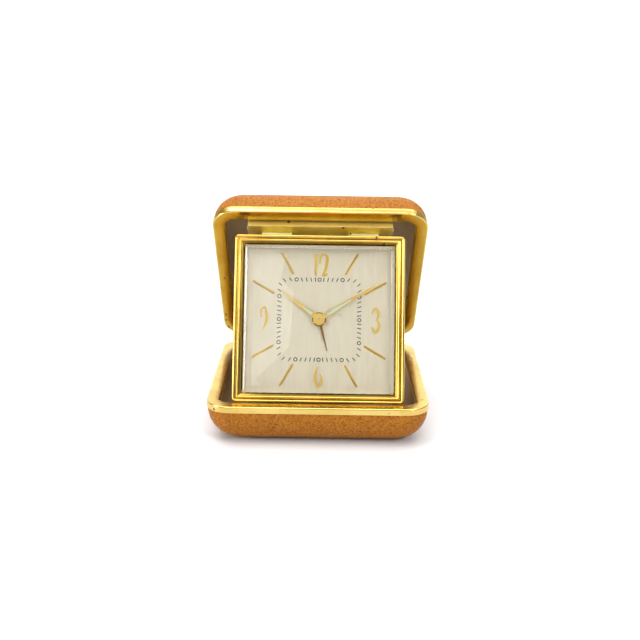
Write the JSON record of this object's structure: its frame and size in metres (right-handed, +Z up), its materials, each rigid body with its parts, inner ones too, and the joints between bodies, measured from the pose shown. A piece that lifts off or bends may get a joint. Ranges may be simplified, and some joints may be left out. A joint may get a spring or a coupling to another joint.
{
  "type": "travel alarm clock",
  "caption": "Square wind-up alarm clock hinged inside a leather-covered, brass-rimmed folding case whose lid and clock prop each other up.",
  "frame": {"origin": "centre of the base half's flat underside", "axes": "+Z up, +Y to the back toward the case hinge, +X to the right seen from the front"},
  "size_m": [0.072, 0.0786, 0.0751],
  "materials": {
    "tan_leather": "satin",
    "brown_lining": "matte",
    "shell_steel": "satin",
    "rim_brass": "polished",
    "hinge_brass": "satin",
    "bezel_brass": "polished",
    "crystal_glass": "gloss",
    "dial_paint": "satin",
    "dial_gilt": "polished",
    "housing_brass": "satin",
    "hand_gilt": "polished",
    "alarm_hand_brass": "satin",
    "pale_lume": "matte",
    "screw_steel": "satin",
    "plate_brass": "satin",
    "wheel_brass": "satin",
    "spring_steel": "satin",
    "knob_brass": "satin"
  },
  "bodies": {
    "base": {"base_cover": "tan_leather", "base_shell": "shell_steel", "base_lining": "brown_lining", "base_rim": "rim_brass", "base_hinge_leaf": "hinge_brass", "case_hinge_pin": "hinge_brass"},
    "lid": {"lid_cover": "tan_leather", "lid_shell": "shell_steel", "lid_lining": "brown_lining", "lid_rim": "rim_brass", "lid_hinge_leaf": "hinge_brass", "clock_hinge_strip": "hinge_brass", "clock_hinge_pin": "hinge_brass", "strip_rivets": "hinge_brass"},
    "clock": {"clock_bezel": "bezel_brass", "crystal": "crystal_glass", "dial": "dial_paint", "dial_batons": "dial_gilt", "dial_numerals": "dial_gilt", "clock_housing": "housing_brass", "clock_hinge_ear": "hinge_brass", "back_cover": "housing_brass", "back_cover_screws": "screw_steel", "front_plate": "plate_brass", "back_plate": "plate_brass", "pillars": "screw_steel", "pillar_nuts": "screw_steel", "balance_cock": "plate_brass", "hairspring": "spring_steel", "gong_stud": "shell_steel"},
    "minute_group": {"centre_arbor": "screw_steel", "minute_hand": "hand_gilt", "minute_lume": "pale_lume", "time_knob": "knob_brass"},
    "hour_group": {"hour_wheel": "wheel_brass", "hour_hand": "hand_gilt", "hour_lume": "pale_lume"},
    "minute_wheel_body": {"minute_wheel": "wheel_brass"},
    "centre_wheel_body": {"centre_wheel": "wheel_brass"},
    "third_wheel_body": {"third_wheel": "wheel_brass"},
    "fourth_wheel_body": {"fourth_wheel": "wheel_brass"},
    "escape_wheel_body": {"escape_wheel": "wheel_brass"},
    "lever_body": {"pallet_lever": "screw_steel"},
    "balance_body": {"balance_wheel": "wheel_brass"},
    "going_drum": {"going_barrel": "wheel_brass", "going_mainspring": "spring_steel"},
    "alarm_drum": {"alarm_barrel": "wheel_brass", "alarm_mainspring": "spring_steel"},
    "alarm_pointer": {"alarm_hand": "alarm_hand_brass", "alarm_disc": "wheel_brass"},
    "alarm_setter": {"alarm_setting_arbor": "screw_steel", "alarm_knob": "knob_brass"},
    "going_winder": {"going_arbor": "screw_steel"},
    "going_wing": {"going_key_wing": "knob_brass"},
    "alarm_winder": {"alarm_barrel_arbor": "screw_steel"},
    "alarm_wing": {"alarm_key_wing": "knob_brass"},
    "striker": {"striking_wheel": "wheel_brass"},
    "hammer": {"alarm_hammer": "screw_steel"},
    "regulator_body": {"regulator": "plate_brass"}
  },
  "joints": [
    {"name": "lid_hinge", "type": "hinge", "parent": "base", "child": "lid", "pos_m": [0, 0.0383, 0.0135], "axis": [-1, 0, 0], "range_deg": [0, 58]},
    {"name": "clock_hinge", "type": "hinge", "parent": "lid", "child": "clock", "pos_m": [0, -0.00289, 0.06488], "axis": [1, 0, 0], "range_deg": [0, 60.1]},
    {"name": "minute_hand_turn", "type": "hinge", "parent": "clock", "child": "minute_group", "pos_m": [0, -0.01171, 0.03525], "axis": [0, 0.9311, -0.3649], "continuous": true},
    {"name": "hour_hand_turn", "type": "hinge", "parent": "clock", "child": "hour_group", "pos_m": [0, -0.01171, 0.03525], "axis": [0, 0.9311, -0.3649], "continuous": true},
    {"name": "minute_wheel_turn", "type": "hinge", "parent": "clock", "child": "minute_wheel_body", "pos_m": [0.00424, -0.01326, 0.0313], "axis": [0, 0.9311, -0.3649], "continuous": true},
    {"name": "fourth_wheel_turn", "type": "hinge", "parent": "clock", "child": "fourth_wheel_body", "pos_m": [0.00076, -0.0065, 0.04854], "axis": [0, 0.9311, -0.3649], "continuous": true},
    {"name": "escape_wheel_turn", "type": "hinge", "parent": "clock", "child": "escape_wheel_body", "pos_m": [-0.00617, -0.0065, 0.04854], "axis": [0, 0.9311, -0.3649], "continuous": true},
    {"name": "third_wheel_turn", "type": "hinge", "parent": "clock", "child": "third_wheel_body", "pos_m": [0.0045, -0.00887, 0.0425], "axis": [0, 0.9311, -0.3649], "continuous": true},
    {"name": "centre_wheel_turn", "type": "hinge", "parent": "clock", "child": "centre_wheel_body", "pos_m": [0, -0.01171, 0.03525], "axis": [0, 0.9311, -0.3649], "continuous": true},
    {"name": "going_barrel_turn", "type": "hinge", "parent": "clock", "child": "going_drum", "pos_m": [-0.01178, -0.01327, 0.03126], "axis": [0, 0.9311, -0.3649], "continuous": true},
    {"name": "pallet_lever_rock", "type": "hinge", "parent": "clock", "child": "lever_body", "pos_m": [-0.0118, -0.00726, 0.04661], "axis": [0, 0.9311, -0.3649], "range_deg": [-6, 6]},
    {"name": "balance_swing", "type": "hinge", "parent": "clock", "child": "balance_body", "pos_m": [-0.0175, -0.00842, 0.04363], "axis": [0, 0.9311, -0.3649], "range_deg": [-130, 130]},
    {"name": "regulator_shift", "type": "hinge", "parent": "clock", "child": "regulator_body", "pos_m": [-0.0175, -0.00842, 0.04363], "axis": [0, 0.9311, -0.3649], "range_deg": [-11, 11]},
    {"name": "alarm_hand_turn", "type": "hinge", "parent": "clock", "child": "alarm_pointer", "pos_m": [0, -0.01171, 0.03525], "axis": [0, 0.9311, -0.3649], "continuous": true},
    {"name": "alarm_knob_turn", "type": "hinge", "parent": "clock", "child": "alarm_setter", "pos_m": [0, -0.01499, 0.02687], "axis": [0, 0.9311, -0.3649], "continuous": true},
    {"name": "alarm_barrel_turn", "type": "hinge", "parent": "clock", "child": "alarm_drum", "pos_m": [0.0125, -0.01481, 0.02734], "axis": [0, 0.9311, -0.3649], "continuous": true},
    {"name": "striking_wheel_turn", "type": "hinge", "parent": "clock", "child": "striker", "pos_m": [0.01427, -0.01115, 0.03669], "axis": [0, 0.9311, -0.3649], "continuous": true},
    {"name": "hammer_strike", "type": "hinge", "parent": "clock", "child": "hammer", "pos_m": [0.0193, -0.00937, 0.04121], "axis": [0, 0.9311, -0.3649], "range_deg": [-6, 6]},
    {"name": "going_key_wind", "type": "hinge", "parent": "clock", "child": "going_winder", "pos_m": [-0.01178, -0.01327, 0.03126], "axis": [0, -0.9311, 0.3649], "range_deg": [0, 1800]},
    {"name": "alarm_key_wind", "type": "hinge", "parent": "clock", "child": "alarm_winder", "pos_m": [0.0125, -0.01481, 0.02734], "axis": [0, -0.9311, 0.3649], "range_deg": [0, 1080]},
    {"name": "going_wing_fold", "type": "hinge", "parent": "going_winder", "child": "going_wing", "pos_m": [-0.01178, -0.00703, 0.02881], "axis": [0, -0.3649, -0.9311], "range_deg": [-90, 0]},
    {"name": "alarm_wing_fold", "type": "hinge", "parent": "alarm_winder", "child": "alarm_wing", "pos_m": [0.0125, -0.00857, 0.02489], "axis": [0, -0.3649, -0.9311], "range_deg": [-90, 0]}
  ],
  "couplings": [
    {"joint": "hour_hand_turn", "follows": "minute_hand_turn", "ratio": 0.083333},
    {"joint": "minute_wheel_turn", "follows": "minute_hand_turn", "ratio": -0.33333},
    {"joint": "escape_wheel_turn", "follows": "fourth_wheel_turn", "ratio": -10},
    {"joint": "third_wheel_turn", "follows": "fourth_wheel_turn", "ratio": -0.13333},
    {"joint": "centre_wheel_turn", "follows": "fourth_wheel_turn", "ratio": 0.016667},
    {"joint": "going_barrel_turn", "follows": "fourth_wheel_turn", "ratio": -0.0025253},
    {"joint": "alarm_knob_turn", "follows": "alarm_hand_turn", "ratio": -4},
    {"joint": "striking_wheel_turn", "follows": "alarm_barrel_turn", "ratio": -7.5}
  ]
}
